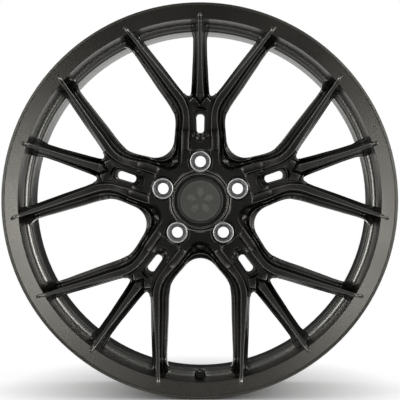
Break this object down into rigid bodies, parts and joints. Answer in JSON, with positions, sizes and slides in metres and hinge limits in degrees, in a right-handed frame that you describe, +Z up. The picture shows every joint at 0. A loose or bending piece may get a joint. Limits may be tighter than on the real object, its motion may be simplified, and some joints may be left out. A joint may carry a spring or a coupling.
{
  "type": "forged racing wheel rim",
  "caption": "Deep-concave multi-spoke forged wheel rim in satin black, with welded barrel, steel stud seats, clip-in centre cap and clamp-in tyre valve.",
  "frame": {"origin": "middle of the wheel: on its axis, halfway between the two flanges", "axes": "+Y along the wheel's axis towards the car, outboard face towards -Y, +Z up with one arm pointing up and the valve at the bottom, +X to the right seen from the outboard side"},
  "size_m": [0.5479, 0.254, 0.548],
  "materials": {
    "paint_barrel": "satin dark paint",
    "paint_centre": "satin dark paint",
    "weld": "as welded",
    "seat_steel": "machined",
    "ring_alloy": "anodised",
    "cap_plastic": "satin",
    "badge": "satin",
    "wire": "drawn",
    "valve_black": "black anodised",
    "rubber": "matt",
    "washer_steel": "plated",
    "brass": "turned",
    "valve_cap": "matt"
  },
  "bodies": {
    "wheel": {"barrel": "paint_barrel", "forged_centre": "paint_centre", "weld_seam": "weld", "stud_seat_1": "seat_steel", "stud_seat_2": "seat_steel", "stud_seat_3": "seat_steel", "stud_seat_4": "seat_steel", "stud_seat_5": "seat_steel", "hub_ring": "ring_alloy", "valve_stem": "valve_black", "valve_grommet": "rubber", "valve_washer": "washer_steel", "valve_nut": "valve_black", "valve_core": "brass"},
    "centre_cap": {"cap_body": "cap_plastic", "cap_badge": "badge", "cap_spring_ring": "wire"},
    "core_pin": {"valve_core_pin": "brass"},
    "cap_seal": {"valve_cap_seal": "rubber"},
    "screw_cap": {"valve_cap": "valve_cap"}
  },
  "joints": [
    {"name": "cap_pull", "type": "slide", "parent": "wheel", "child": "centre_cap", "axis": [0, -1, 0], "range_m": [0, 0.03]},
    {"name": "core_press", "type": "slide", "parent": "wheel", "child": "core_pin", "axis": [0, 0.9945, -0.1045], "range_m": [0, 0.0015], "stiffness_N_per_m": 300},
    {"name": "valve_cap_lift", "type": "slide", "parent": "wheel", "child": "cap_seal", "axis": [0, -0.9945, 0.1045], "range_m": [0, 0.0065]},
    {"name": "valve_cap_turn", "type": "hinge", "parent": "cap_seal", "child": "screw_cap", "pos_m": [0, -0.0645, -0.2468], "axis": [0, -0.9945, 0.1045], "range_deg": [0, 2950]}
  ],
  "couplings": [
    {"joint": "valve_cap_turn", "follows": "valve_cap_lift", "rad_per_m": 7913.3}
  ]
}
